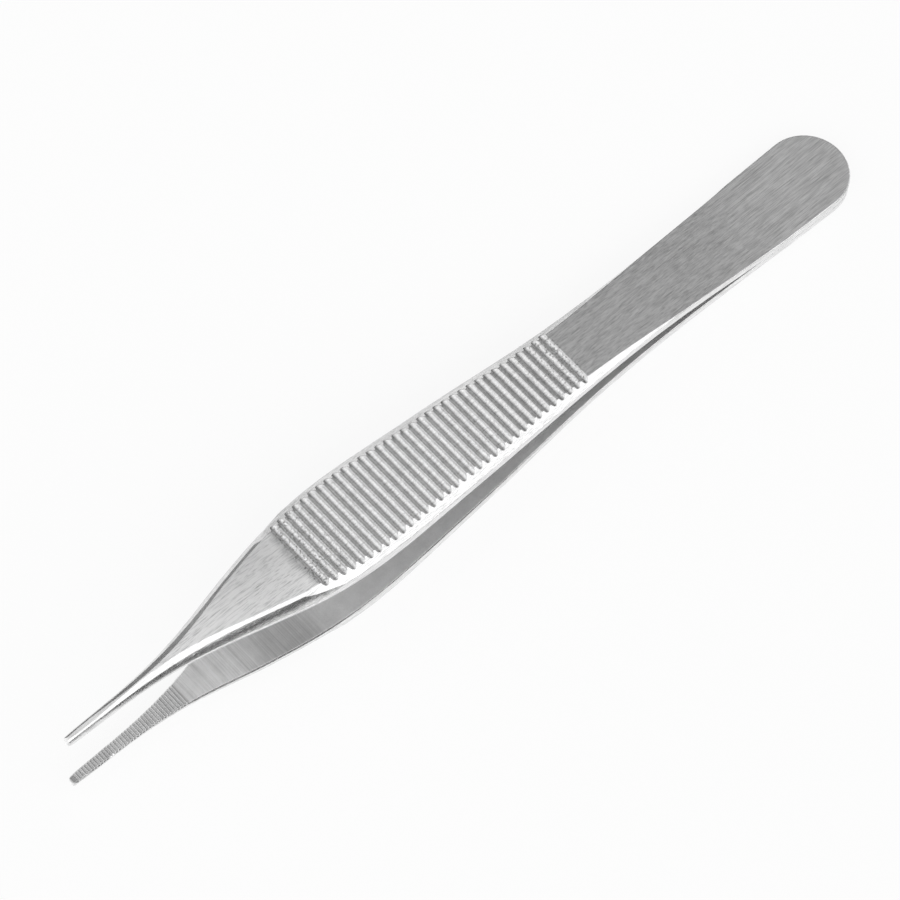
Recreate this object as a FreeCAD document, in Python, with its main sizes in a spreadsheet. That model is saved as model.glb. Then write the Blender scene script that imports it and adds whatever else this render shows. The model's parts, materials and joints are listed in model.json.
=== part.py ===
"""Thumb forceps: two forged stainless arms welded face to face at the heel.

Millimetres. Each arm is modelled once in its own frame: the origin lies on the weld plane at the heel's
end, +X runs to the tips and +Z from the weld plane to the arm's outer face. The second arm is the same
blank turned half a turn about X. Both are then laid as the instrument rests: on the lower arm's heel and
front flat, with the origin at the middle of the box they fill, on the surface they lie on.
"""
import FreeCAD, Part
import math
import os
import Sketcher
from dataclasses import dataclass
from FreeCAD import Placement, Rotation, Vector

# The driving dimensions: name, value and what it is. Places are measured from the heel's end.
SIZES = [
    ("length", 120.3, "whole length along the weld plane"),
    ("design_length", 120.3, "the length that the places and pitches below are given for"),
    ("heel_radius", 5.33, "round end of the heel, seen from above"),
    ("heel_thickness", 1.05, "one arm at the heel"),
    ("weld_length", 13.3, "flat land where the two arms are welded together"),
    ("weld_half_width", 5.18, "half the width at the land's front end"),
    ("parting_place", 17.3, "where the arms have just left each other"),
    ("parting_half_gap", 0.09, "half the gap there"),
    ("parting_half_width", 4.98, "half the width there"),
    ("waist_place", 30.3, "narrow part behind the grip"),
    ("waist_half_gap", 0.77, "half the gap between the inner faces"),
    ("waist_half_width", 4.4, "half the arm's width"),
    ("waist_thickness", 1.25, "the arm's thickness"),
    ("grip_rear_place", 43.3, "rear end of the grip, just behind the last groove"),
    ("grip_rear_half_gap", 1.33, "half the gap"),
    ("grip_rear_half_width", 4.5, "half the width"),
    ("grip_rear_bevel_width", 0.85, "bevel where it runs out towards the waist"),
    ("grip_rear_bevel_depth", 0.62, "its drop"),
    ("grip_middle_place", 60.3, "middle of the grip"),
    ("grip_middle_half_gap", 2.4, "half the gap"),
    ("grip_middle_half_width", 5.47, "half the width"),
    ("belly_place", 73.3, "fullest part of the grip"),
    ("belly_half_gap", 3.165, "half the gap"),
    ("belly_half_width", 6.1, "half the width"),
    ("shoulder_place", 82.3, "where the grip's bevels end"),
    ("shoulder_half_gap", 3.8, "half the gap"),
    ("shoulder_half_width", 6.02, "half the width"),
    ("grip_bevel_width", 1.22, "bevel along both sides of the grip"),
    ("grip_bevel_depth", 0.92, "its drop"),
    ("grip_radius", 1000.0, "radius of the outer face's crown along the grip"),
    ("grip_crown_place", 64.8, "middle of that arc"),
    ("grip_crown_height", 4.93, "height of the outer face there, over the weld plane"),
    ("grip_slope", 4.73, "degrees that the outer face rises there towards the tips"),
    ("neck_place", 87.3, "where the rounded sides of the front begin"),
    ("neck_half_gap", 4.25, "half the gap"),
    ("neck_half_width", 5.42, "half the width"),
    ("neck_round_width", 1.15, "width of the rounded side"),
    ("land_rear_place", 90.8, "rear edge of the short flat that the arm rests on"),
    ("land_rear_half_gap", 4.6, "half the gap"),
    ("land_rear_half_width", 4.71, "half the width"),
    ("land_rear_thickness", 2.17, "the arm's thickness"),
    ("land_rear_round_width", 1.15, "width of the rounded side"),
    ("land_front_place", 92.8, "front edge of that flat"),
    ("land_front_half_gap", 4.8, "half the gap"),
    ("land_front_half_width", 4.24, "half the width"),
    ("land_front_round_width", 1.15, "width of the rounded side"),
    ("taper_place", 95.3, "middle of the hollow taper"),
    ("taper_half_gap", 5.0, "half the gap"),
    ("taper_half_width", 3.65, "half the width"),
    ("taper_thickness", 2.0, "the arm's thickness"),
    ("taper_round_width", 1.15, "width of the rounded side"),
    ("jaw_place", 103.9, "rear end of the jaw"),
    ("jaw_half_gap", 5.2, "half the gap"),
    ("jaw_half_width", 1.64, "half the width"),
    ("jaw_thickness", 1.6, "the arm's thickness"),
    ("jaw_round_width", 1.14, "width of the rounded side"),
    ("nose_place", 112.3, "middle of the jaw"),
    ("nose_half_width", 0.79, "half the width"),
    ("nose_thickness", 1.2, "the arm's thickness"),
    ("nose_round_width", 0.69, "width of the rounded side"),
    ("tip_half_gap", 5.3, "half the gap at the open tips"),
    ("tip_half_width", 0.55, "half the width"),
    ("tip_thickness", 1.0, "the arm's thickness"),
    ("tip_round_width", 0.45, "width of the rounded side"),
    ("tip_end_spare", 0.04, "how much the tip's end radius, seen from above, exceeds half its width"),
    ("tip_outer_radius", 0.5, "round end of the tip, seen from the side, outer corner"),
    ("tip_inner_radius", 0.22, "the same, inner corner"),
    ("edge_break", 0.12, "broken edge of the bare outer face behind the grip"),
    ("seam_break", 0.08, "broken edge along the weld seam and the waist"),
    ("inner_break", 0.12, "broken inner edge along the grip"),
    ("jaw_break", 0.18, "broken inner edge of the front"),
    ("land_bevel", 0.55, "what is left of the bevel beside the flat, under the rounded side"),
    ("taper_bevel", 0.3, "the same at the taper"),
    ("shoulder_round_width", 1.15, "width of the rounded side where its grinding starts"),
    ("shoulder_stand_off", 0.55, "how far outside the arm's side that grinding starts"),
    ("soft_edge_share", 0.34, "share of the rounded side that is the outer face's soft edge"),
    ("jaw_soft_share", 0.56, "the same along the jaw, whose back is nearly half round"),
    ("rim_share", 0.35, "share of the front's thickness that is its upright rim"),
    ("side_bulge", 0.06, "rise of the rounded side's arc over its chord, as a share of the chord"),
    ("groove_count", 34, "round grooves milled across the grip"),
    ("groove_pitch", 1.242, "from one groove to the next"),
    ("groove_radius", 0.52, "the cutter's radius"),
    ("groove_depth", 0.39, "depth below the outer face"),
    ("groove_rear_place", 45.14, "middle of the rearmost groove"),
    ("tooth_count", 36, "notches that make the jaw's cross teeth"),
    ("tooth_pitch", 0.43, "from one notch to the next"),
    ("tooth_notch_width", 0.33, "width of a notch at the jaw's face"),
    ("tooth_depth", 0.19, "its depth"),
    ("tooth_rear_place", 104.4, "middle of the rearmost notch"),
    ("cut_margin", 1.0, "how far a cutting outline runs past the metal"),
    ("edge_margin", 0.15, "how far the cut of a soft edge runs on over the outer face"),
]

SHEET_NAME = "Sizes"
# The ends of the sizes' names that stretch with the arm.
STRETCHING = ("_place", "_pitch")
# The sections whose sides are rounded, in the two runs of that grinding, and those of them on the jaw.
SHOULDER_RUN = ("shoulder", "neck", "land_rear", "land_front")
JAW_RUN = ("land_front", "taper", "jaw", "nose", "tip")
JAW = ("jaw", "nose", "tip")
# How close two places count as the same, the facets' fineness and the rounds for finding the touching points.
FIT = 0.001
TOUCH_DETAIL = 0.02
TOUCH_ROUNDS = 8


def number(name):
    """The value of one driving dimension."""
    return next(value for alias, value, _ in SIZES if alias == name)


def make_sheet(doc):
    """Writes the driving dimensions to the sheet, each under its own name.

    Places and pitches are written as formulas, so that they follow the length.
    """
    sheet = doc.addObject("Spreadsheet::Sheet", SHEET_NAME)
    for row, (alias, value, meaning) in enumerate(SIZES, start=1):
        sheet.set(f"A{row}", alias)
        follows = alias.endswith(STRETCHING)
        sheet.set(f"B{row}", f"={value} * length / design_length" if follows else str(value))
        sheet.set(f"C{row}", meaning)
        sheet.setAlias(f"B{row}", alias)
    doc.recompute()
    return sheet


def size(name):
    """The expression that reads one driving dimension."""
    return f"{SHEET_NAME}.{name}"


def grip_height(place):
    """Expression for the outer face's height over the weld plane at a place along the grip."""
    centre = f"({size('grip_crown_place')} + {size('grip_radius')} * sin({size('grip_slope')} * 1 deg))"
    base = f"({size('grip_crown_height')} - {size('grip_radius')} * cos({size('grip_slope')} * 1 deg))"
    return f"{base} + sqrt({size('grip_radius')}^2 - ({size(place)} - {centre})^2)"


def rest_height(land_outer):
    """Expression for the outer face's height at the flat's front edge.

    It lies on the line from the heel's outer edge over the flat's rear edge, which is the line of the table.
    """
    heel = f"({size('heel_thickness')})"
    rise = f"({land_outer} - {heel}) / ({size('land_rear_place')} - {size('edge_break')})"
    return f"{heel} + {rise} * ({size('land_front_place')} - {size('edge_break')})"


def jaw_gap(place):
    """Expression for half the gap along the jaw, whose inner face is straight from its rear end to the tip."""
    run = f"({size(place)} - {size('jaw_place')}) / ({size('length')} - {size('jaw_place')})"
    return f"{size('jaw_half_gap')} + ({size('tip_half_gap')} - {size('jaw_half_gap')}) * {run}"


@dataclass
class Section:
    """One cross-section of an arm, with each size as an expression in the sheet's values."""

    name: str
    place: str
    gap: str
    half_width: str
    outer: str
    bevel_width: str
    bevel_depth: str
    inner_break: str


def arm_sections():
    """The arm's cross-sections in order from the weld land to the tip."""
    edge = (size("edge_break"), size("edge_break"))
    rear_bevel = (size("grip_rear_bevel_width"), size("grip_rear_bevel_depth"))
    grip_bevel = (size("grip_bevel_width"), size("grip_bevel_depth"))
    land_bevel = (size("land_bevel"), size("land_bevel"))
    front_bevel = (size("taper_bevel"), size("taper_bevel"))
    seam = size("seam_break")
    inner = size("inner_break")
    tip_break = size("jaw_break")
    parting = size("parting_half_gap")
    waist = size("waist_half_gap")
    land_rear = size("land_rear_half_gap")
    land_front = size("land_front_half_gap")
    land_outer = f"({land_rear} + {size('land_rear_thickness')})"
    taper = size("taper_half_gap")
    jaw = size("jaw_half_gap")
    nose = jaw_gap("nose_place")
    tip = size("tip_half_gap")
    rows = [
        ("weld", "weld_length", "0", size("heel_thickness"), edge, seam),
        ("parting", "parting_place", parting, f"{parting} + {size('heel_thickness')}", edge, seam),
        ("waist", "waist_place", waist, f"{waist} + {size('waist_thickness')}", edge, seam),
        ("grip_rear", "grip_rear_place", size("grip_rear_half_gap"), None, rear_bevel, inner),
        ("grip_middle", "grip_middle_place", size("grip_middle_half_gap"), None, grip_bevel, inner),
        ("belly", "belly_place", size("belly_half_gap"), None, grip_bevel, inner),
        ("shoulder", "shoulder_place", size("shoulder_half_gap"), None, grip_bevel, inner),
        ("neck", "neck_place", size("neck_half_gap"), None, grip_bevel, tip_break),
        ("land_rear", "land_rear_place", land_rear, land_outer, land_bevel, tip_break),
        ("land_front", "land_front_place", land_front, rest_height(land_outer), land_bevel, tip_break),
        ("taper", "taper_place", taper, f"{taper} + {size('taper_thickness')}", front_bevel, tip_break),
        ("jaw", "jaw_place", jaw, f"{jaw} + {size('jaw_thickness')}", edge, tip_break),
        ("nose", "nose_place", nose, f"{nose} + {size('nose_thickness')}", edge, tip_break),
        ("tip", "length", tip, f"{tip} + {size('tip_thickness')}", edge, tip_break),
    ]
    return [
        Section(name, size(place), gap, size(f"{name}_half_width"), outer or grip_height(place), *bevel, inner)
        for name, place, gap, outer, bevel, inner in rows
    ]


def origin_plane(body, role):
    """One of the body's own origin planes, by its role."""
    return next(feature for feature in body.Origin.OriginFeatures if feature.Role == role)


def plane_sketch(body, name, role):
    """An empty sketch on one of the body's origin planes."""
    sketch = body.newObject("Sketcher::SketchObject", name)
    sketch.AttachmentSupport = [(origin_plane(body, role), "")]
    sketch.MapMode = "FlatFace"
    return sketch


def value_of(doc, expression):
    """Works out an expression of the sheet's sizes as a plain number."""
    value = doc.getObject(SHEET_NAME).evalExpression(expression.replace(f"{SHEET_NAME}.", ""))
    return float(getattr(value, "Value", value))


def bind_constraint(sketch, name, constraint, expression):
    """Adds a named constraint and ties it to an expression."""
    index = sketch.addConstraint(constraint)
    sketch.renameConstraint(index, name)
    sketch.setExpression(f"Constraints.{name}", expression)


def pin_point(sketch, point, name, expressions, values):
    """Fixes a sketch point by its two distances from the origin, each tied to an expression."""
    for axis, expression, value in zip("XY", expressions, values):
        constraint = Sketcher.Constraint(f"Distance{axis}", -1, 1, *point, value)
        bind_constraint(sketch, f"{name}_{axis.lower()}", constraint, expression)


def arc_through(start, middle, end):
    """A circular arc through three points."""
    return Part.Arc(Vector(*start, 0), Vector(*middle, 0), Vector(*end, 0))


def line_between(start, end):
    """A straight sketch line between two points."""
    return Part.LineSegment(Vector(*start, 0), Vector(*end, 0))


def join_in_ring(sketch, count):
    """Joins the ends of a closed run of edges."""
    for here in range(count):
        sketch.addConstraint(Sketcher.Constraint("Coincident", here, 2, (here + 1) % count, 1))


def draw_section(doc, body, section):
    """Draws one cross-section of the arm, eight edges long and the same on both sides."""
    sketch = plane_sketch(body, f"{section.name}_section", "YZ_Plane")
    sketch.setExpression("AttachmentOffset.Base.z", section.place)
    expressions = {
        "inner": (f"{section.half_width} - {section.inner_break}", section.gap),
        "rim": (section.half_width, f"{section.gap} + {section.inner_break}"),
        "corner": (section.half_width, f"{section.outer} - {section.bevel_depth}"),
        "face": (f"{section.half_width} - {section.bevel_width}", section.outer),
    }
    right = {name: tuple(value_of(doc, e) for e in pair) for name, pair in expressions.items()}
    left = [(-across, up) for across, up in reversed(right.values())]
    ring = list(right.values()) + left
    for start, end in zip(ring, ring[1:] + ring[:1]):
        last = sketch.addGeometry(line_between(start, end))
    join_in_ring(sketch, len(ring))
    for geometry, (name, pair) in enumerate(expressions.items()):
        pin_point(sketch, (geometry, 1), name, pair, right[name])
        sketch.addConstraint(Sketcher.Constraint("Symmetric", geometry, 1, last - geometry, 1, -2))
    return sketch


def draw_ring(sketch, expressions, points, arcs):
    """Draws a closed outline with every corner pinned and each arc held by one more limit.

    arcs maps the corner that an arc starts from to the arc's middle point and its limit: Radius, or DistanceX
    for the arc's centre, with the value and its expression.
    """
    names = list(points)
    for start, end in zip(names, names[1:] + names[:1]):
        if start in arcs:
            sketch.addGeometry(arc_through(points[start], arcs[start][0], points[end]))
        else:
            sketch.addGeometry(line_between(points[start], points[end]))
    join_in_ring(sketch, len(names))
    for geometry, name in enumerate(names):
        pin_point(sketch, (geometry, 1), name, expressions[name], points[name])
    for name, (_, kind, value, expression) in arcs.items():
        arc = names.index(name)
        held = (arc, value) if kind == "Radius" else (-1, 1, arc, 3, value)
        bind_constraint(sketch, f"{name}_arc", Sketcher.Constraint(kind, *held), expression)


def values_of(doc, expressions):
    """The corner points that pairs of expressions stand for."""
    return {name: tuple(value_of(doc, e) for e in pair) for name, pair in expressions.items()}


def draw_side_cut(doc, body, section, stand_off):
    """Draws what is ground off one side of the front at a section: all outside a soft edge and a round."""
    sketch = plane_sketch(body, f"{section.name}_side_cut", "YZ_Plane")
    sketch.setExpression("AttachmentOffset.Base.z", section.place)
    width = size(f"{section.name}_round_width")
    share = size("jaw_soft_share" if section.name in JAW else "soft_edge_share")
    margin = size("cut_margin")
    side = f"{section.half_width} + {stand_off}"
    rim = f"{section.gap} + {size('rim_share')} * (({section.outer}) - ({section.gap}))"
    over = size("edge_margin")
    expressions = {
        "edge_clear": (f"{side} - {width} - 2 * {over}", f"{section.outer} + {over}"),
        "outer_clear": (f"{side} + {margin}", f"{section.outer} + {margin}"),
        "rim_clear": (f"{side} + {margin} / 2", f"{rim} - {margin}"),
        "rim": (side, rim),
        "soft": (f"{side} - {width} * (1 - {share})", f"{section.outer} - {width} * {share} / 2"),
    }
    points = values_of(doc, expressions)
    (rim_x, rim_y), (soft_x, soft_y) = points["rim"], points["soft"]
    bulge = number("side_bulge")
    middle = ((rim_x + soft_x) / 2 + (soft_y - rim_y) * bulge, (rim_y + soft_y) / 2 + (rim_x - soft_x) * bulge)
    radius = math.dist(points["rim"], points["soft"]) * (1 / (8 * bulge) + bulge / 2)
    chord = "sqrt((Constraints.rim_x - Constraints.soft_x)^2 + (Constraints.soft_y - Constraints.rim_y)^2)"
    arc_size = f"{chord} * (1 / (8 * {size('side_bulge')}) + {size('side_bulge')} / 2)"
    draw_ring(sketch, expressions, points, {"rim": (middle, "Radius", radius, arc_size)})
    return sketch


def add_heel(doc, body):
    """The weld land: a flat pad with a round end, its outer edge broken and a finer break along the seam."""
    sketch = plane_sketch(body, "heel_outline", "XY_Plane")
    radius, run, half = number("heel_radius"), number("weld_length"), number("weld_half_width")
    lean = math.asin((radius - half) / (run - radius))
    touch = (radius + radius * math.sin(lean), radius * math.cos(lean))
    mirror_touch = (touch[0], -touch[1])
    round_end = sketch.addGeometry(arc_through(touch, (0, 0), mirror_touch))
    right_flank = sketch.addGeometry(line_between(mirror_touch, (run, -half)))
    front = sketch.addGeometry(line_between((run, -half), (run, half)))
    left_flank = sketch.addGeometry(line_between((run, half), touch))
    join_in_ring(sketch, left_flank + 1)
    sketch.addConstraint(Sketcher.Constraint("PointOnObject", round_end, 3, -1))
    sketch.addConstraint(Sketcher.Constraint("Symmetric", front, 1, front, 2, -1))
    sketch.addConstraint(Sketcher.Constraint("Tangent", round_end, right_flank))
    sketch.addConstraint(Sketcher.Constraint("Tangent", round_end, left_flank))
    pin_point(sketch, (front, 2), "front", (size("weld_length"), size("weld_half_width")), (run, half))
    radius_limit = Sketcher.Constraint("Radius", round_end, radius)
    bind_constraint(sketch, "end_radius", radius_limit, size("heel_radius"))
    centre_limit = Sketcher.Constraint("DistanceX", -1, 1, round_end, 3, radius)
    bind_constraint(sketch, "end_centre", centre_limit, size("heel_radius"))
    pad = body.newObject("PartDesign::Pad", "heel_land")
    pad.Profile = sketch
    pad.setExpression("Length", size("heel_thickness"))
    doc.recompute()
    add_rim_chamfer(doc, body, "heel_edge_break", number("heel_thickness"), "edge_break")
    add_rim_chamfer(doc, body, "heel_seam_break", 0.0, "seam_break")


def add_rim_chamfer(doc, body, name, height, break_name):
    """Breaks the heel's rim at one height, all but where the land's front end meets the springy part."""
    base = body.Tip
    front = number("weld_length")
    rim = [
        f"Edge{index}"
        for index, edge in enumerate(base.Shape.Edges, start=1)
        if all(abs(vertex.Z - height) < FIT for vertex in edge.Vertexes)
        and min(vertex.X for vertex in edge.Vertexes) < front - FIT
    ]
    chamfer = body.newObject("PartDesign::Chamfer", name)
    chamfer.Base = (base, rim)
    chamfer.setExpression("Size", size(break_name))
    doc.recompute()
    return chamfer


def add_blank(doc, body, sections):
    """The arm from the weld land to the tip: smooth runs to and from the short flat it rests on."""
    sketches = [draw_section(doc, body, section) for section in sections]
    names = [section.name for section in sections]
    rear, front = names.index("land_rear"), names.index("land_front")
    runs = {
        "rear_blank": sketches[: rear + 1],
        "land_blank": sketches[rear : front + 1],
        "front_blank": sketches[front:],
    }
    for name, run in runs.items():
        blank = body.newObject("PartDesign::AdditiveLoft", name)
        blank.Profile = run[0]
        blank.Sections = run[1:]
        doc.recompute()


def add_side_rounds(doc, body, sections):
    """Grinds the rounded sides of the front, from where they leave the grip's bevels to the tip."""
    stand_offs = {"shoulder": size("shoulder_stand_off")}
    sketches = {
        section.name: draw_side_cut(doc, body, section, stand_offs.get(section.name, "0"))
        for section in sections
        if section.name in SHOULDER_RUN + JAW_RUN
    }
    cuts = []
    for name, run in (("shoulder_round", SHOULDER_RUN), ("jaw_round", JAW_RUN)):
        cut = body.newObject("PartDesign::SubtractiveLoft", name)
        cut.Profile = sketches[run[0]]
        cut.Sections = [sketches[station] for station in run[1:]]
        doc.recompute()
        cuts.append(cut)
    mirrored = body.newObject("PartDesign::Mirrored", "side_rounds")
    mirrored.Originals = cuts
    mirrored.MirrorPlane = (origin_plane(body, "XZ_Plane"), [""])
    body.Tip = mirrored
    doc.recompute()
    return mirrored


def add_cut(doc, body, name, sketch, width):
    """Cuts a sketch's outline through the arm, the same distance to both sides of the sketch."""
    cut = body.newObject("PartDesign::Pocket", name)
    cut.Profile = sketch
    cut.SideType = "Symmetric"
    cut.setExpression("Length", width)
    doc.recompute()
    return cut


def add_tip_ends(doc, body, tip):
    """Rounds the tip's end, first seen from above and then seen from the side."""
    length, margin = size("length"), size("cut_margin")
    radius = f"({size('tip_half_width')} + {size('tip_end_spare')})"
    reach = f"{size('tip_half_width')} + {margin}"
    expressions = {
        "near": (f"{length} - {radius}", f"-({radius})"),
        "far": (f"{length} - {radius}", radius),
        "far_side": (f"{length} - {radius}", reach),
        "far_corner": (f"{length} + {margin}", reach),
        "near_corner": (f"{length} + {margin}", f"-({reach})"),
        "near_side": (f"{length} - {radius}", f"-({reach})"),
    }
    sketch = plane_sketch(body, "tip_plan", "XY_Plane")
    points = values_of(doc, expressions)
    arcs = {"near": ((number("length"), 0), "DistanceX", points["near"][0], expressions["near"][0])}
    draw_ring(sketch, expressions, points, arcs)
    add_cut(doc, body, "tip_plan_round", sketch, f"2 * ({tip.outer} + {margin})")

    rounds = {
        "outer": (size("tip_outer_radius"), tip.outer, 1),
        "inner": (size("tip_inner_radius"), tip.gap, -1),
    }
    for name, (radius, height, way) in rounds.items():
        sketch = plane_sketch(body, f"tip_{name}_corner", "XZ_Plane")
        low = f"{height} - ({way}) * {radius}"
        expressions = {
            "end": (length, low),
            "face": (f"{length} - {radius}", height),
            "face_clear": (f"{length} - {radius}", f"{height} + ({way}) * {margin}"),
            "corner_clear": (f"{length} + {margin}", f"{height} + ({way}) * {margin}"),
            "end_clear": (f"{length} + {margin}", low),
        }
        if way < 0:
            expressions = dict(reversed(expressions.items()))
        points = values_of(doc, expressions)
        size_now = value_of(doc, radius)
        centre = (points["face"][0], points["end"][1])
        middle = (centre[0] + size_now * math.sqrt(0.5), centre[1] + way * size_now * math.sqrt(0.5))
        start = "end" if way > 0 else "face"
        draw_ring(sketch, expressions, points, {start: (middle, "Radius", size_now, radius)})
        add_cut(doc, body, f"tip_{name}_round", sketch, f"2 * ({reach})")


def add_grip_grooves(doc, body):
    """Mills the round grooves across the grip, spaced round the centre of the outer face's crown."""
    sketch = plane_sketch(body, "groove_profile", "XZ_Plane")
    radius = size("grip_radius")
    slope = f"{size('grip_slope')} * 1 deg"
    sketch.setExpression("AttachmentOffset.Base.x", f"{size('grip_crown_place')} + {radius} * sin({slope})")
    sketch.setExpression("AttachmentOffset.Base.y", f"{size('grip_crown_height')} - {radius} * cos({slope})")
    run = f"({size('groove_rear_place')} - {size('grip_crown_place')} - {radius} * sin({slope})) / {radius}"
    reach = f"({radius} + {size('groove_radius')} - {size('groove_depth')})"
    centre = (f"{reach} * ({run})", f"{reach} * sqrt(1 - ({run})^2)")
    values = tuple(value_of(doc, e) for e in centre)
    cutter = sketch.addGeometry(Part.Circle(Vector(*values, 0), Vector(0, 0, 1), number("groove_radius")))
    pin_point(sketch, (cutter, 3), "cutter", centre, values)
    cutter_limit = Sketcher.Constraint("Radius", cutter, number("groove_radius"))
    bind_constraint(sketch, "cutter_radius", cutter_limit, size("groove_radius"))
    width = f"2 * ({size('belly_half_width')} + {size('cut_margin')})"
    groove = add_cut(doc, body, "groove", sketch, width)
    grooves = body.newObject("PartDesign::PolarPattern", "grooves")
    grooves.Originals = [groove]
    grooves.Axis = (sketch, ["N_Axis"])
    grooves.Reversed = True
    grooves.setExpression("Occurrences", size("groove_count"))
    turn = f"({size('groove_count')} - 1) * {size('groove_pitch')} / {radius}"
    grooves.setExpression("Angle", f"({turn}) * 180 deg / pi")
    body.Tip = grooves
    doc.recompute()
    return grooves


def add_jaw_teeth(doc, body):
    """Cuts the notches between the jaw's cross teeth, in a row along the straight inner face."""
    sketch = plane_sketch(body, "tooth_notch", "XZ_Plane")
    rise = f"({size('tip_half_gap')} - {size('jaw_half_gap')}) / ({size('length')} - {size('jaw_place')})"
    sketch.setExpression("AttachmentOffset.Base.x", size("tooth_rear_place"))
    sketch.setExpression("AttachmentOffset.Base.y", jaw_gap("tooth_rear_place"))
    sketch.setExpression("AttachmentOffset.Rotation.Angle", f"atan({rise})")
    depth, width = size("tooth_depth"), size("tooth_notch_width")
    expressions = {
        "root": ("0", depth),
        "rear": (f"-({width})", f"-({depth})"),
        "front": (width, f"-({depth})"),
    }
    draw_ring(sketch, expressions, values_of(doc, expressions), {})
    reach = f"2 * ({size('jaw_half_width')} + {size('cut_margin')})"
    notch = add_cut(doc, body, "notch", sketch, reach)
    notches = body.newObject("PartDesign::LinearPattern", "notches")
    notches.Originals = [notch]
    notches.Direction = (sketch, ["H_Axis"])
    notches.setExpression("Occurrences", size("tooth_count"))
    notches.setExpression("Length", f"({size('tooth_count')} - 1) * {size('tooth_pitch')}")
    body.Tip = notches
    doc.recompute()
    return notches


def build_arm(doc, name):
    """Builds one arm in its own frame, the weld plane at Z 0 and the tips towards +X."""
    body = doc.addObject("PartDesign::Body", name)
    body.Label = name
    sections = arm_sections()
    add_heel(doc, body)
    add_blank(doc, body, sections)
    add_side_rounds(doc, body, sections)
    add_tip_ends(doc, body, sections[-1])
    add_grip_grooves(doc, body)
    add_jaw_teeth(doc, body)
    return body


def copy_arm(doc, arm, name):
    """The other arm, forged to the same shape: a body of its own that follows the first."""
    body = doc.addObject("PartDesign::Body", name)
    body.Label = name
    blank = body.newObject("PartDesign::FeatureBase", f"{name}_blank")
    blank.BaseFeature = arm
    body.Tip = blank
    doc.recompute()
    return body


def rest_placement(arm):
    """Where the closed frame of the arms goes so that the lower arm lies on its heel and front flat.

    The lower arm is the mirror image of the given one, so its underside is that arm's outer face. It rests
    on the two points of that outline whose joining line has all the metal on one side.
    """
    points = [(vertex.x, vertex.z) for vertex in arm.Shape.tessellate(TOUCH_DETAIL)[0]]
    middle = arm.Shape.Solids[0].CenterOfMass.x
    heel = [point for point in points if point[0] < middle]
    front = [point for point in points if point[0] >= middle]
    slope = 0.0
    for _ in range(TOUCH_ROUNDS):
        foot = max(heel, key=lambda p: p[1] - slope * p[0])
        flat = max(front, key=lambda p: p[1] - slope * p[0])
        slope = (flat[1] - foot[1]) / (flat[0] - foot[0])
    tilt = math.degrees(math.atan(slope))
    return Placement(Vector(), Rotation(Vector(0, 1, 0), -tilt))


def lay_down(doc, upper, lower):
    """Turns the lower arm over, lays both as they rest and sets the origin under the middle of the box."""
    turn = rest_placement(upper)
    upper.Placement = turn
    lower.Placement = turn * Placement(Vector(), Rotation(Vector(1, 0, 0), 180))
    doc.recompute()
    box = upper.Shape.optimalBoundingBox()
    box.add(lower.Shape.optimalBoundingBox())
    shift = Placement(Vector(-box.Center.x, -box.Center.y, -box.ZMin), Rotation())
    for arm in (upper, lower):
        arm.Placement = shift * arm.Placement
    doc.recompute()


def check_document(doc, arms):
    """Stops the build if any object failed or an arm has no sound solid."""
    for item in doc.Objects:
        if "Invalid" in item.State or "Error" in item.State:
            raise RuntimeError(f"{item.Label} failed: {item.State}")
    for arm in arms:
        if arm.Shape.isNull() or not arm.Shape.isValid() or len(arm.Shape.Solids) != 1:
            raise RuntimeError(f"{arm.Label} isn't one sound solid")


def main():
    """Builds both arms, lays them down and writes each to its own file."""
    os.makedirs("parts", exist_ok=True)
    doc = FreeCAD.newDocument("ThumbForceps")
    make_sheet(doc)
    upper = build_arm(doc, "upper_arm")
    lower = copy_arm(doc, upper, "lower_arm")
    lay_down(doc, upper, lower)
    check_document(doc, (upper, lower))
    for arm in (upper, lower):
        arm.Shape.exportStep(os.path.join("parts", f"{arm.Label}.step"))
        box = arm.Shape.optimalBoundingBox()
        print(f"{arm.Label}: volume {arm.Shape.Volume:.1f} mm3, faces {len(arm.Shape.Faces)}, {box}")


if __name__ == "__main__":
    main()
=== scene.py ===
"""Thumb forceps in satin stainless steel, lying open on a pale table.

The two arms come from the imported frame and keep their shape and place. This file dresses them: each face
gets the finish it has from the maker's bench, worked out from where it is on the arm and which way it faces.
Lengths along the arms are written in millimetres and everything in the scene is in metres.
"""

import json
import logging
import math
from dataclasses import dataclass, field
from enum import Enum

import bpy
from mathutils import Matrix, Vector


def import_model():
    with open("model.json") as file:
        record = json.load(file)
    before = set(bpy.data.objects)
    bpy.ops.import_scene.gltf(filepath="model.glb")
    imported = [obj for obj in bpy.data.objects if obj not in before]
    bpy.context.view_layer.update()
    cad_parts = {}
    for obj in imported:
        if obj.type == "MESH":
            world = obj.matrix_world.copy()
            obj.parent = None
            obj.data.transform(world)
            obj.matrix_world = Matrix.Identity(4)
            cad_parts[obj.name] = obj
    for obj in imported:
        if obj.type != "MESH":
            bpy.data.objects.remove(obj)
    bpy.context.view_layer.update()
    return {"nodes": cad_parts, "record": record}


log = logging.getLogger("thumb_forceps")

MM = 0.001
DIAGONAL = math.sqrt(0.5)


class Arm(Enum):
    """The two arms, each with the way its outer face looks along the arms' own Z axis."""

    UPPER = ("upper_arm", 1.0)
    LOWER = ("lower_arm", -1.0)

    @property
    def node(self) -> str:
        """The name of the arm's node in the frame."""
        return self.value[0]

    @property
    def outward(self) -> float:
        """The sign of Z that points out of the arm's outer face."""
        return self.value[1]


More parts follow.
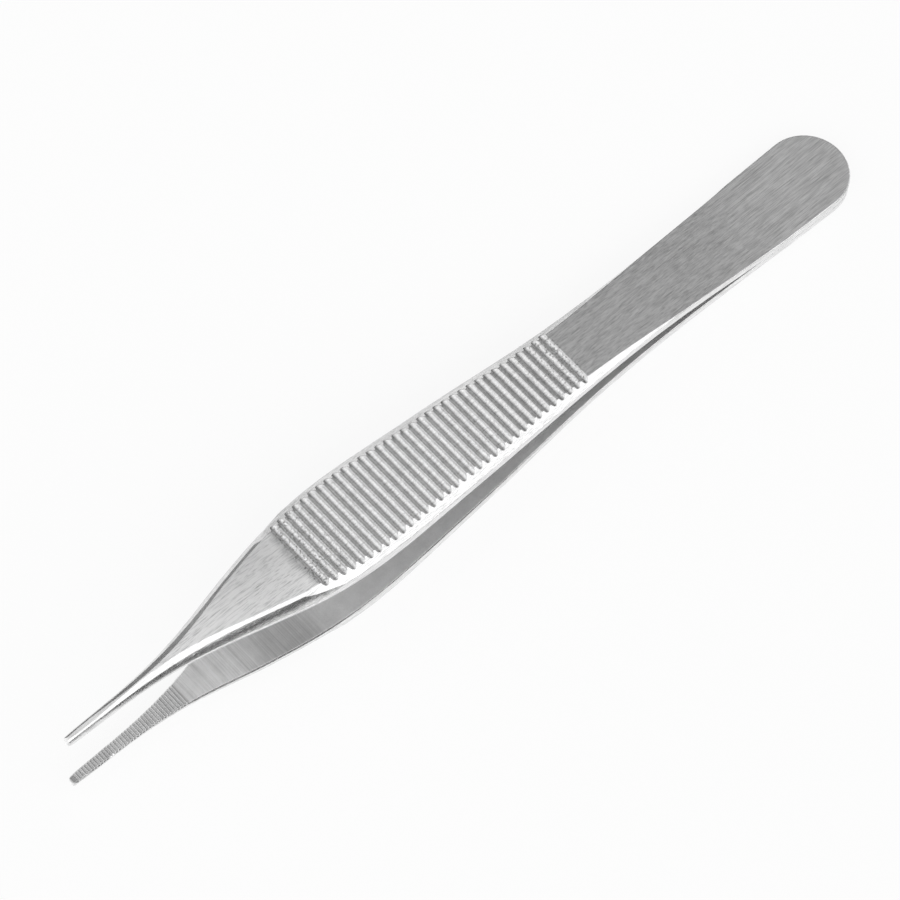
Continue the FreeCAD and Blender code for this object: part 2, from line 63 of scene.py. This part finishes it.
@dataclass(frozen=True)
class ArmFrame:
    """The frame that the arms are drawn in: heel's end at the origin, +X to the tips, +Z off the weld."""

    heel_middle: tuple[float, float, float] = (7.180, 0.0, 1.05)

    def to_row(self, record: dict) -> Matrix:
        """Works out how the arms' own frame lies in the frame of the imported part.

        Args:
            record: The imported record, whose mount is the middle of the flat heel and its normal.

        Returns:
            The matrix from the arms' frame, in metres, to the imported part's.
        """
        mount = record["mounts"][0]
        normal = Vector(mount["axis"]).normalized()
        across = Vector((0.0, 1.0, 0.0))
        along = across.cross(normal)
        turn = Matrix((along, across, normal)).transposed()
        shift = Vector(mount["pos_m"]) - turn @ (Vector(self.heel_middle) * MM)
        return Matrix.Translation(shift) @ turn.to_4x4()


@dataclass(frozen=True)
class PhotoCamera:
    """The camera in the arms' frame: where it looks, from which side and how long its lens is."""

    azimuth: float = 44.84
    elevation: float = 62.9
    roll: float = 3.39
    distance: float = 500.0
    target: tuple[float, float, float] = (62.03, -0.92, 0.0)
    focal_pixels: float = 4314.0
    frame_pixels: float = 900.0
    sensor: float = 36.0
    nearest: float = 0.01

    def build(self, to_row: Matrix) -> bpy.types.Object:
        """Makes the scene's camera.

        Args:
            to_row: The matrix from the arms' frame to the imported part's.

        Returns:
            The camera object.
        """
        azimuth, elevation, roll = (math.radians(a) for a in (self.azimuth, self.elevation, self.roll))
        back = Vector((
            math.cos(elevation) * math.cos(azimuth),
            math.cos(elevation) * math.sin(azimuth),
            math.sin(elevation),
        ))
        level = (-back).cross(Vector((0.0, 0.0, 1.0))).normalized()
        rise = level.cross(-back)
        right = math.cos(roll) * level + math.sin(roll) * rise
        up = math.cos(roll) * rise - math.sin(roll) * level
        place = (Vector(self.target) + back * self.distance) * MM
        pose = Matrix.Translation(place) @ Matrix((right, up, back)).transposed().to_4x4()
        data = bpy.data.cameras.new("photo_camera")
        data.sensor_width = self.sensor
        data.lens = self.focal_pixels * self.sensor / self.frame_pixels
        data.clip_start = self.nearest
        camera = bpy.data.objects.new("photo_camera", data)
        camera.matrix_world = to_row @ pose
        bpy.context.scene.collection.objects.link(camera)
        bpy.context.scene.camera = camera
        return camera


@dataclass(frozen=True)
class NoiseKind:
    """How a noise texture looks: its scale, how many finer layers it has and how strong they are."""

    scale: float
    detail: float
    roughness: float


FINE_LINES = NoiseKind(1.0, 2.0, 0.6)
LINE_BANDS = NoiseKind(0.28, 2.0, 0.6)
GRAINS = NoiseKind(1.0, 3.0, 0.6)
SPECKS = NoiseKind(0.55, 3.0, 0.7)
MOTTLE = NoiseKind(0.12, 2.0, 0.5)
# The value that the textures lie about, and the values between which a dark grain becomes a speck.
TEXTURE_MIDDLE = 0.5
SPECK_RANGE = (0.5, 0.66)
# How closely a corner is felt out, and how far the softened normal turns from the true one, as a cosine.
CORNER_SAMPLES = 6
CORNER_TURN = (0.999, 0.95)


class Nodes:
    """A node tree with short calls for the few kinds of node that the finishes use."""

    def __init__(self, tree: bpy.types.NodeTree) -> None:
        """Keeps the tree and starts it empty."""
        self.tree = tree
        self.tree.nodes.clear()

    def node(self, kind: str, **settings: object) -> bpy.types.Node:
        """Adds a node and sets its properties."""
        made = self.tree.nodes.new(kind)
        for name, value in settings.items():
            setattr(made, name, value)
        return made

    def link(self, source: object, socket: bpy.types.NodeSocket) -> None:
        """Feeds a socket from another socket, or sets it to a plain value."""
        if isinstance(source, bpy.types.NodeSocket):
            self.tree.links.new(source, socket)
        else:
            socket.default_value = source

    def math(self, operation: str, *values: object) -> bpy.types.NodeSocket:
        """Adds a maths node and returns its result."""
        made = self.node("ShaderNodeMath", operation=operation)
        for value, socket in zip(values, made.inputs):
            self.link(value, socket)
        return made.outputs[0]

    def vector(self, x: object, y: object, z: object) -> bpy.types.NodeSocket:
        """Joins three values to a vector."""
        made = self.node("ShaderNodeCombineXYZ")
        for value, socket in zip((x, y, z), made.inputs):
            self.link(value, socket)
        return made.outputs[0]

    def split(self, vector: object) -> tuple[bpy.types.NodeSocket, ...]:
        """Takes a vector apart."""
        made = self.node("ShaderNodeSeparateXYZ")
        self.link(vector, made.inputs[0])
        return tuple(made.outputs)

    def steps(self, value: object, low: object, high: object) -> bpy.types.NodeSocket:
        """A smooth mask that goes from 0 at low to 1 at high."""
        made = self.node("ShaderNodeMapRange", interpolation_type="SMOOTHSTEP")
        for source, socket in zip((value, low, high), made.inputs):
            self.link(source, socket)
        return made.outputs[0]

    def noise(self, vector: object, kind: NoiseKind) -> bpy.types.NodeSocket:
        """Adds a noise texture and returns its value."""
        made = self.node("ShaderNodeTexNoise")
        self.link(vector, made.inputs["Vector"])
        made.inputs["Scale"].default_value = kind.scale
        made.inputs["Detail"].default_value = kind.detail
        made.inputs["Roughness"].default_value = kind.roughness
        return made.outputs[0]

    def mix(self, share: object, first: object, second: object) -> bpy.types.NodeSocket:
        """Blends two values."""
        made = self.node("ShaderNodeMix", data_type="FLOAT")
        for source, socket in zip((share, first, second), (made.inputs[0], made.inputs[2], made.inputs[3])):
            self.link(source, socket)
        return made.outputs[0]

    def vary(self, level: object, texture: object, strength: object) -> bpy.types.NodeSocket:
        """Makes a level lighter and darker with a texture."""
        swing = self.math("DIVIDE", self.math("SUBTRACT", texture, TEXTURE_MIDDLE), TEXTURE_MIDDLE)
        change = self.math("ADD", 1.0, self.math("MULTIPLY", swing, strength))
        return self.math("MULTIPLY", level, change)

    def colour(self, level: object) -> bpy.types.NodeSocket:
        """Makes a neutral grey from a level."""
        made = self.node("ShaderNodeCombineColor")
        for socket in made.inputs:
            self.link(level, socket)
        return made.outputs[0]

    def group(self, tree: bpy.types.NodeTree, values: dict[str, object]) -> bpy.types.Node:
        """Places a node group and feeds its inputs."""
        made = self.node("ShaderNodeGroup", node_tree=tree)
        for name, value in values.items():
            self.link(value, made.inputs[name])
        return made


@dataclass(frozen=True)
class GroupSpec:
    """A shader node group's name and sockets."""

    name: str
    inputs: tuple[tuple[str, str, float], ...]
    outputs: tuple[tuple[str, str], ...]

    def start(self) -> tuple[Nodes, bpy.types.Node, bpy.types.Node]:
        """Makes the empty group with its sockets.

        Returns:
            The group's short calls, the input node and the output node.
        """
        tree = bpy.data.node_groups.new(self.name, "ShaderNodeTree")
        for name, kind, value in self.inputs:
            socket = tree.interface.new_socket(name=name, in_out="INPUT", socket_type=kind)
            socket.default_value = value
        for name, kind in self.outputs:
            tree.interface.new_socket(name=name, in_out="OUTPUT", socket_type=kind)
        nodes = Nodes(tree)
        return nodes, nodes.node("NodeGroupInput"), nodes.node("NodeGroupOutput")


FLOAT = "NodeSocketFloat"
AXES = ("Along", "Across", "Out")
PLACE = tuple((axis, FLOAT, 0.0) for axis in AXES)


def arm_place_group() -> bpy.types.NodeTree:
    """Group that says where a point is on its arm, in millimetres, and which way it faces.

    Returns:
        The node group, with the arm's tilt, the heel's place and the outward sign as inputs.
    """
    spec = GroupSpec(
        "arm_place",
        (("Tilt", FLOAT, 0.0), ("Heel X", FLOAT, 0.0), ("Heel Z", FLOAT, 0.0), ("Outward", FLOAT, 1.0)),
        (("Along", FLOAT), ("Across", FLOAT), ("Out", FLOAT), ("Facing", FLOAT), ("Sideways", FLOAT)),
    )
    nodes, given, out = spec.start()
    place = nodes.node("ShaderNodeTexCoord").outputs["Object"]
    heel = nodes.vector(given.outputs["Heel X"], 0.0, given.outputs["Heel Z"])
    from_heel = nodes.node("ShaderNodeVectorMath", operation="SUBTRACT")
    nodes.link(place, from_heel.inputs[0])
    nodes.link(heel, from_heel.inputs[1])
    scaled = nodes.node("ShaderNodeVectorMath", operation="SCALE")
    nodes.link(from_heel.outputs[0], scaled.inputs[0])
    scaled.inputs["Scale"].default_value = 1 / MM
    turned = []
    for vector in (scaled.outputs[0], nodes.node("ShaderNodeNewGeometry").outputs["Normal"]):
        turn = nodes.node("ShaderNodeVectorRotate", rotation_type="Y_AXIS")
        nodes.link(vector, turn.inputs["Vector"])
        nodes.link(given.outputs["Tilt"], turn.inputs["Angle"])
        turned.append(nodes.split(turn.outputs[0]))
    (along, across, height), (_, sideways, rise) = turned
    nodes.link(along, out.inputs["Along"])
    nodes.link(across, out.inputs["Across"])
    nodes.link(nodes.math("MULTIPLY", height, given.outputs["Outward"]), out.inputs["Out"])
    nodes.link(nodes.math("MULTIPLY", rise, given.outputs["Outward"]), out.inputs["Facing"])
    nodes.link(nodes.math("ABSOLUTE", sideways), out.inputs["Sideways"])
    return nodes.tree


def ground_lines_group() -> bpy.types.NodeTree:
    """Group for the lines that a belt or a wheel leaves, with the lines to a millimetre each way as inputs.

    Returns:
        The node group, which gives fine lines and the broader bands that they gather in.
    """
    density = tuple((f"Lines {axis}", FLOAT, 1.0) for axis in AXES)
    spec = GroupSpec("ground_lines", PLACE + density, (("Lines", FLOAT), ("Bands", FLOAT)))
    nodes, given, out = spec.start()
    place = nodes.vector(*(
        nodes.math("MULTIPLY", given.outputs[axis], given.outputs[f"Lines {axis}"])
        for axis in AXES
    ))
    nodes.link(nodes.noise(place, FINE_LINES), out.inputs["Lines"])
    nodes.link(nodes.noise(place, LINE_BANDS), out.inputs["Bands"])
    return nodes.tree


def grain_group() -> bpy.types.NodeTree:
    """Group for the granular look of steel that was blasted or ground by hand.

    Returns:
        The node group, which gives the grain's height, the specks between the grains and a broad mottle.
    """
    spec = GroupSpec(
        "grain",
        PLACE + (("Grains", FLOAT, 1.0),),
        (("Height", FLOAT), ("Specks", FLOAT), ("Mottle", FLOAT)),
    )
    nodes, given, out = spec.start()
    place = nodes.vector(*(
        nodes.math("MULTIPLY", given.outputs[axis], given.outputs["Grains"])
        for axis in AXES
    ))
    nodes.link(nodes.noise(place, GRAINS), out.inputs["Height"])
    nodes.link(nodes.steps(nodes.noise(place, SPECKS), *SPECK_RANGE), out.inputs["Specks"])
    nodes.link(nodes.noise(place, MOTTLE), out.inputs["Mottle"])
    return nodes.tree


def worked_edges_group() -> bpy.types.NodeTree:
    """Group for corners that are rubbed round, with the finish's fine relief over them; its mask marks the
    corners that are made lighter, partly as rubbed wear and partly as a painted highlight.

    Returns:
        The node group, which gives the surface's normal and a mask of the corners.
    """
    spec = GroupSpec(
        "worked_edges",
        (("Radius", FLOAT, 0.0001), ("Relief", FLOAT, 0.0), ("Relief Depth", FLOAT, 0.00001)),
        (("Normal", "NodeSocketVector"), ("Mask", FLOAT)),
    )
    nodes, given, out = spec.start()
    soft = nodes.node("ShaderNodeBevel", samples=CORNER_SAMPLES)
    nodes.link(given.outputs["Radius"], soft.inputs["Radius"])
    bump = nodes.node("ShaderNodeBump")
    nodes.link(given.outputs["Relief"], bump.inputs["Height"])
    nodes.link(given.outputs["Relief Depth"], bump.inputs["Distance"])
    nodes.link(soft.outputs[0], bump.inputs["Normal"])
    nodes.link(bump.outputs[0], out.inputs["Normal"])
    turn = nodes.node("ShaderNodeVectorMath", operation="DOT_PRODUCT")
    nodes.link(soft.outputs[0], turn.inputs[0])
    nodes.link(nodes.node("ShaderNodeNewGeometry").outputs["Normal"], turn.inputs[1])
    nodes.link(nodes.steps(turn.outputs["Value"], *CORNER_TURN), out.inputs["Mask"])
    return nodes.tree


@dataclass(frozen=True)
class FinishZones:
    """Where each kind of bench work is: in millimetres from the heel's end, and by which way a face looks.

    The pairs are the two ends of a gradual change. A face that looks straight out or sideways counts 1.
    """

    grip_start: float = 44.3
    grip_end: float = 87.0
    worn_run: float = 10.0
    ground_start: float = 86.6
    ground_end: float = 88.0
    crosswise_start: float = 84.0
    crosswise_full: float = 90.0
    throat_end: float = 101.0
    jaw_start: float = 104.0
    change: float = 0.2
    outer_facing: tuple[float, float] = (0.0, 0.1)
    inner_facing: tuple[float, float] = (-0.5, -0.8)
    side_facing: tuple[float, float] = (0.3, 0.5)
    band_start: tuple[float, float] = (0.55, 0.7)
    band_end: tuple[float, float] = (0.95, 0.88)


@dataclass(frozen=True)
class SteelSurface:
    """One arm's surface in its material: the place on it, its textures, its finishes' masks and its pits."""

    place: bpy.types.Node
    lengthwise: bpy.types.Node
    crosswise: bpy.types.Node
    grain: bpy.types.Node
    masks: dict[str, bpy.types.NodeSocket]
    pits: bpy.types.NodeSocket


@dataclass(frozen=True)
class SatinSteel:
    """Satin stainless steel: brushed outside, ground across inside the jaws and gritty on the sides.

    First come the levels of grey, then the roughness, the strengths of the textures, the lines and grains
    to a millimetre, the relief and the radius of the corners.
    """

    brushed: float = 0.82
    grip: float = 0.84
    ground: float = 0.98
    inside: float = 0.85
    inside_front: float = 0.64
    inside_throat: float = 0.9
    teeth: float = 0.5
    side: float = 0.8
    front_side: float = 0.74
    pit: float = 0.25
    # Level that corners are lightened toward: partly rubbed wear, partly a painted highlight along the
    # edges.
    rubbed_wear_and_highlight: float = 0.95
    brushed_roughness: float = 0.28
    grip_roughness: float = 0.3
    ground_roughness: float = 0.58
    inside_roughness: float = 0.34
    side_roughness: float = 0.26
    pit_roughness: float = 0.6
    streak_strength: float = 1.0
    front_streak_strength: float = 1.2
    side_streak_strength: float = 0.7
    cross_strength: float = 0.6
    speck_strength: float = 0.12
    rub_and_highlight_strength: float = 0.4
    streak_bands: float = 0.35
    cross_bands: float = 0.5
    lengthwise_density: tuple[float, float, float] = (0.45, 13.0, 13.0)
    crosswise_density: tuple[float, float, float] = (7.0, 0.12, 5.0)
    grain_density: float = 6.0
    grit: float = 0.25
    band_grit: float = 1.6
    line_relief: float = 0.8
    crown: float = 0.8
    relief_depth: float = 0.000012
    edge_radius: float = 0.00014
    inner_edge_radius: float = 0.00005
    zones: FinishZones = FinishZones()

    def build(self, arm: Arm, to_row: Matrix, groups: dict[str, bpy.types.NodeTree]) -> bpy.types.Material:
        """Makes the material for one arm.

        Args:
            arm: The arm it is for.
            to_row: The matrix from the arms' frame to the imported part's.
            groups: The shared node groups by name.

        Returns:
            The material.
        """
        material = bpy.data.materials.new(f"satin_steel_{arm.node}")
        material.use_nodes = True
        nodes = Nodes(material.node_tree)
        heel = to_row.translation
        place = nodes.group(groups["arm_place"], {
            "Tilt": -to_row.to_euler().y, "Heel X": heel.x, "Heel Z": heel.z, "Outward": arm.outward,
        })
        surface = self.surface(nodes, place, groups)
        edges = self.edges(nodes, surface, groups["worked_edges"])
        level = self.level(nodes, surface, edges.outputs["Mask"])
        shader = nodes.node("ShaderNodeBsdfPrincipled")
        shader.inputs["Metallic"].default_value = 1.0
        nodes.link(nodes.colour(level), shader.inputs["Base Color"])
        nodes.link(self.roughness(nodes, surface), shader.inputs["Roughness"])
        nodes.link(edges.outputs["Normal"], shader.inputs["Normal"])
        output = nodes.node("ShaderNodeOutputMaterial")
        nodes.link(shader.outputs[0], output.inputs["Surface"])
        return material

    def surface(
        self, nodes: Nodes, place: bpy.types.Node, groups: dict[str, bpy.types.NodeTree]
    ) -> SteelSurface:
        """Places the textures and works out where each finish is.

        Args:
            nodes: The material's nodes.
            place: The node that gives the place on the arm.
            groups: The shared node groups by name.

        Returns:
            The arm's surface.
        """
        spot = {axis: place.outputs[axis] for axis in AXES}
        lengthwise, crosswise = (
            nodes.group(groups["ground_lines"], spot | {
                f"Lines {axis}": value for axis, value in zip(AXES, density)
            })
            for density in (self.lengthwise_density, self.crosswise_density)
        )
        grain = nodes.group(groups["grain"], spot | {"Grains": self.grain_density})
        masks = self.masks(nodes, place)
        pits = nodes.math("MULTIPLY", masks["worn grooves"], grain.outputs["Specks"])
        return SteelSurface(place, lengthwise, crosswise, grain, masks, pits)

    def masks(self, nodes: Nodes, place: bpy.types.Node) -> dict[str, bpy.types.NodeSocket]:
        """Works out where each finish is.

        Args:
            nodes: The material's nodes.
            place: The node that gives the place on the arm.

        Returns:
            The masks by name.
        """
        zones = self.zones
        along, facing, sideways = (place.outputs[name] for name in ("Along", "Facing", "Sideways"))
        side = nodes.steps(sideways, *zones.side_facing)
        outside = nodes.steps(facing, *zones.outer_facing)
        inner = nodes.steps(facing, *zones.inner_facing)
        top = nodes.math("MULTIPLY", outside, nodes.math("SUBTRACT", 1.0, side))
        front = nodes.steps(along, zones.ground_start, zones.ground_end)
        jaw = nodes.steps(along, zones.crosswise_start, zones.crosswise_full)
        band = nodes.math(
            "MULTIPLY",
            nodes.steps(sideways, *zones.band_start),
            nodes.steps(sideways, *zones.band_end),
        )
        grooves = nodes.math(
            "MULTIPLY",
            nodes.steps(along, zones.grip_start, zones.grip_start + zones.change),
            nodes.steps(along, zones.grip_end, zones.grip_end - zones.change),
        )
        ends = nodes.math(
            "MAXIMUM",
            nodes.steps(along, zones.grip_start + zones.worn_run, zones.grip_start),
            nodes.steps(along, zones.grip_end - zones.worn_run, zones.grip_end),
        )
        grip = nodes.math("MULTIPLY", grooves, top)
        return {
            "side": side,
            "front": front,
            "inner": inner,
            "top": top,
            "front top": nodes.math("MULTIPLY", outside, front),
            "band": nodes.math("MULTIPLY", band, front),
            "grip": grip,
            "worn grooves": nodes.math("MULTIPLY", grip, ends),
            "jaw": jaw,
            "throat": nodes.steps(along, zones.crosswise_full, zones.throat_end),
            "teeth": nodes.steps(along, zones.jaw_start - zones.change, zones.jaw_start + zones.change),
            "crosswise": nodes.math("MULTIPLY", inner, jaw),
        }

    def edges(self, nodes: Nodes, surface: SteelSurface, group: bpy.types.NodeTree) -> bpy.types.Node:
        """Places the group that rounds the corners, with the grit, the lines and the front's slight crown.

        Args:
            nodes: The material's nodes.
            surface: The arm's surface.
            group: The node group for worked edges.

        Returns:
            The group's node.
        """
        masks = surface.masks
        grit = nodes.mix(masks["band"], self.grit, self.band_grit)
        grit = nodes.math("MULTIPLY", surface.grain.outputs["Height"], grit)
        lengthwise, crosswise = (lines.outputs["Lines"] for lines in (surface.lengthwise, surface.crosswise))
        lines = nodes.mix(masks["crosswise"], lengthwise, crosswise)
        relief = nodes.math("ADD", grit, nodes.math("MULTIPLY", lines, self.line_relief))
        across = surface.place.outputs["Across"]
        crown = nodes.math("MULTIPLY", nodes.math("MULTIPLY", across, across), -self.crown)
        crown = nodes.math("MULTIPLY", crown, masks["front top"])
        return nodes.group(group, {
            "Radius": nodes.mix(masks["inner"], self.edge_radius, self.inner_edge_radius),
            "Relief": nodes.math("ADD", relief, crown),
            "Relief Depth": self.relief_depth,
        })

    def level(self, nodes: Nodes, surface: SteelSurface, corners: object) -> bpy.types.NodeSocket:
        """Works out how light the steel is.

        Args:
            nodes: The material's nodes.
            surface: The arm's surface.
            corners: The mask of the rubbed corners, which are lightened partly as wear and partly as a
                painted highlight.

        Returns:
            The level of grey.
        """
        masks = surface.masks
        inside = nodes.mix(masks["throat"], self.inside_front, self.inside_throat)
        inside = nodes.mix(masks["teeth"], inside, self.teeth)
        inside = nodes.mix(masks["jaw"], self.inside, inside)
        level = nodes.mix(masks["front"], nodes.mix(masks["grip"], self.brushed, self.grip), self.ground)
        level = nodes.mix(masks["inner"], level, inside)
        level = nodes.mix(masks["side"], level, self.side)
        level = nodes.mix(masks["band"], level, self.front_side)
        streaks, cross = (
            nodes.mix(share, lines.outputs["Lines"], lines.outputs["Bands"])
            for share, lines in (
                (self.streak_bands, surface.lengthwise),
                (self.cross_bands, surface.crosswise),
            )
        )
        on_top = nodes.mix(masks["front"], self.streak_strength, self.front_streak_strength)
        on_top = nodes.math("MULTIPLY", masks["top"], on_top)
        on_sides = nodes.math("MULTIPLY", masks["side"], self.side_streak_strength)
        level = nodes.vary(level, streaks, nodes.math("ADD", on_top, on_sides))
        level = nodes.vary(level, cross, nodes.math("MULTIPLY", masks["crosswise"], self.cross_strength))
        for texture in ("Height", "Mottle"):
            level = nodes.vary(level, surface.grain.outputs[texture], self.speck_strength)
        level = nodes.mix(surface.pits, level, self.pit)
        # Lightens the corners: partly rubbed wear, partly a painted highlight along the edges.
        return nodes.mix(nodes.math("MULTIPLY", corners, self.rub_and_highlight_strength), level, self.rubbed_wear_and_highlight)

    def roughness(self, nodes: Nodes, surface: SteelSurface) -> bpy.types.NodeSocket:
        """Works out how rough the steel is.

        Args:
            nodes: The material's nodes.
            surface: The arm's surface.

        Returns:
            The roughness.
        """
        masks = surface.masks
        roughness = nodes.mix(masks["grip"], self.brushed_roughness, self.grip_roughness)
        roughness = nodes.mix(masks["front"], roughness, self.ground_roughness)
        roughness = nodes.mix(masks["inner"], roughness, self.inside_roughness)
        roughness = nodes.mix(masks["side"], roughness, self.side_roughness)
        return nodes.mix(surface.pits, roughness, self.pit_roughness)


@dataclass
class Forceps:
    """The part itself: both arms of the frame, each in its steel."""

    nodes: dict[str, bpy.types.Object]
    to_row: Matrix
    steel: SatinSteel = field(default_factory=SatinSteel)

    def dress(self) -> None:
        """Gives each arm its finish."""
        groups = {
            "arm_place": arm_place_group(),
            "ground_lines": ground_lines_group(),
            "grain": grain_group(),
            "worked_edges": worked_edges_group(),
        }
        for arm in Arm:
            piece = self.nodes[arm.node]
            piece.data.materials.clear()
            piece.data.materials.append(self.steel.build(arm, self.to_row, groups))
            log.info("dressed %s", arm.node)


@dataclass(frozen=True)
class Studio:
    """The pale table, the room's graded light and a dark card that only the steel reflects.

    The levels are strengths of light. The pairs are the two ends of a gradual change from one direction to
    another, where 1 is straight toward the side that the value names.
    """

    table_radius: float = 3.0
    table_sides: int = 96
    table_white: float = 0.98
    table_glow: float = 0.85
    dark: float = 0.12
    middle: float = 0.52
    bright: float = 1.25
    near_bright: float = 1.8
    dark_to_middle: tuple[float, float] = (-0.8, -0.6)
    middle_to_bright: tuple[float, float] = (-0.52, -0.05)
    near_side: tuple[float, float] = (0.15, 0.5)
    horizon_side: tuple[float, float] = (0.35, 0.55)
    horizon_rise: tuple[float, float] = (0.16, 0.36)
    card_from: tuple[float, float, float] = (-0.02, 0.044, 0.001)
    card_to: tuple[float, float, float] = (0.12, 0.044, 0.025)
    card_grey: float = 0.08

    def build(self) -> None:
        """Makes the table, the card and the room's light."""
        self.build_table()
        self.build_card()
        self.build_room()

    def build_table(self) -> None:
        """A large pale disc at the height that the part stands on, white to the eye but for the shadow."""
        bpy.ops.mesh.primitive_circle_add(
            vertices=self.table_sides, radius=self.table_radius, fill_type="NGON",
        )
        table = bpy.context.object
        table.name = "table"
        material = bpy.data.materials.new("pale_table")
        material.use_nodes = True
        nodes = Nodes(material.node_tree)
        paper = nodes.node("ShaderNodeBsdfDiffuse")
        paper.inputs["Color"].default_value = (self.table_white,) * 3 + (1.0,)
        glow = nodes.node("ShaderNodeEmission")
        path = nodes.node("ShaderNodeLightPath")
        seen = nodes.math("MAXIMUM", path.outputs["Is Camera Ray"], path.outputs["Is Glossy Ray"])
        seen = nodes.math("MAXIMUM", seen, path.outputs["Is Transmission Ray"])
        blend = nodes.node("ShaderNodeMixShader")
        nodes.link(nodes.math("MULTIPLY", seen, self.table_glow), blend.inputs[0])
        nodes.link(paper.outputs[0], blend.inputs[1])
        nodes.link(glow.outputs[0], blend.inputs[2])
        output = nodes.node("ShaderNodeOutputMaterial")
        nodes.link(blend.outputs[0], output.inputs["Surface"])
        table.data.materials.append(material)

    def build_card(self) -> None:
        """The card that stands beside the front, out of the picture, and darkens the near sides."""
        (left, place, low), (right, _, top) = self.card_from, self.card_to
        mesh = bpy.data.meshes.new("dark_card")
        corners = [(left, place, low), (right, place, low), (right, place, top), (left, place, top)]
        mesh.from_pydata(corners, [], [(0, 1, 2, 3)])
        card = bpy.data.objects.new("dark_card", mesh)
        material = bpy.data.materials.new("dark_card")
        material.use_nodes = True
        nodes = Nodes(material.node_tree)
        felt = nodes.node("ShaderNodeBsdfDiffuse")
        felt.inputs["Color"].default_value = (self.card_grey,) * 3 + (1.0,)
        output = nodes.node("ShaderNodeOutputMaterial")
        nodes.link(felt.outputs[0], output.inputs["Surface"])
        mesh.materials.append(material)
        bpy.context.scene.collection.objects.link(card)
        card.visible_camera = False
        card.visible_diffuse = False
        card.visible_shadow = False

    def build_room(self) -> None:
        """The room's light: dark behind the heel, bright beyond the tips, dark at the near horizon."""
        world = bpy.data.worlds.new("room")
        world.use_nodes = True
        nodes = Nodes(world.node_tree)
        ahead, near, rise = nodes.split(nodes.node("ShaderNodeTexCoord").outputs["Generated"])
        corner = nodes.math("MULTIPLY", nodes.math("ADD", ahead, near), DIAGONAL)
        level = nodes.mix(nodes.steps(corner, *self.dark_to_middle), self.dark, self.middle)
        bright = nodes.mix(nodes.steps(near, *self.near_side), self.bright, self.near_bright)
        level = nodes.mix(nodes.steps(corner, *self.middle_to_bright), level, bright)
        low = nodes.math("SUBTRACT", 1.0, nodes.steps(rise, *self.horizon_rise))
        low = nodes.math("MULTIPLY", low, nodes.steps(near, *self.horizon_side))
        background = nodes.node("ShaderNodeBackground")
        nodes.link(nodes.mix(low, level, self.dark), background.inputs["Strength"])
        output = nodes.node("ShaderNodeOutputWorld")
        nodes.link(background.outputs[0], output.inputs["Surface"])
        bpy.context.scene.world = world


def main() -> None:
    """Builds the scene in order: frame, camera, studio and the dressed forceps."""
    logging.basicConfig(level=logging.INFO, format="%(message)s")
    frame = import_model()
    to_row = ArmFrame().to_row(frame["record"])
    PhotoCamera().build(to_row)
    log.info("made the camera")
    Studio().build()
    log.info("made the studio")
    Forceps(frame["nodes"], to_row).dress()
    bpy.context.scene.view_settings.view_transform = "Standard"


if __name__ == "__main__":
    main()
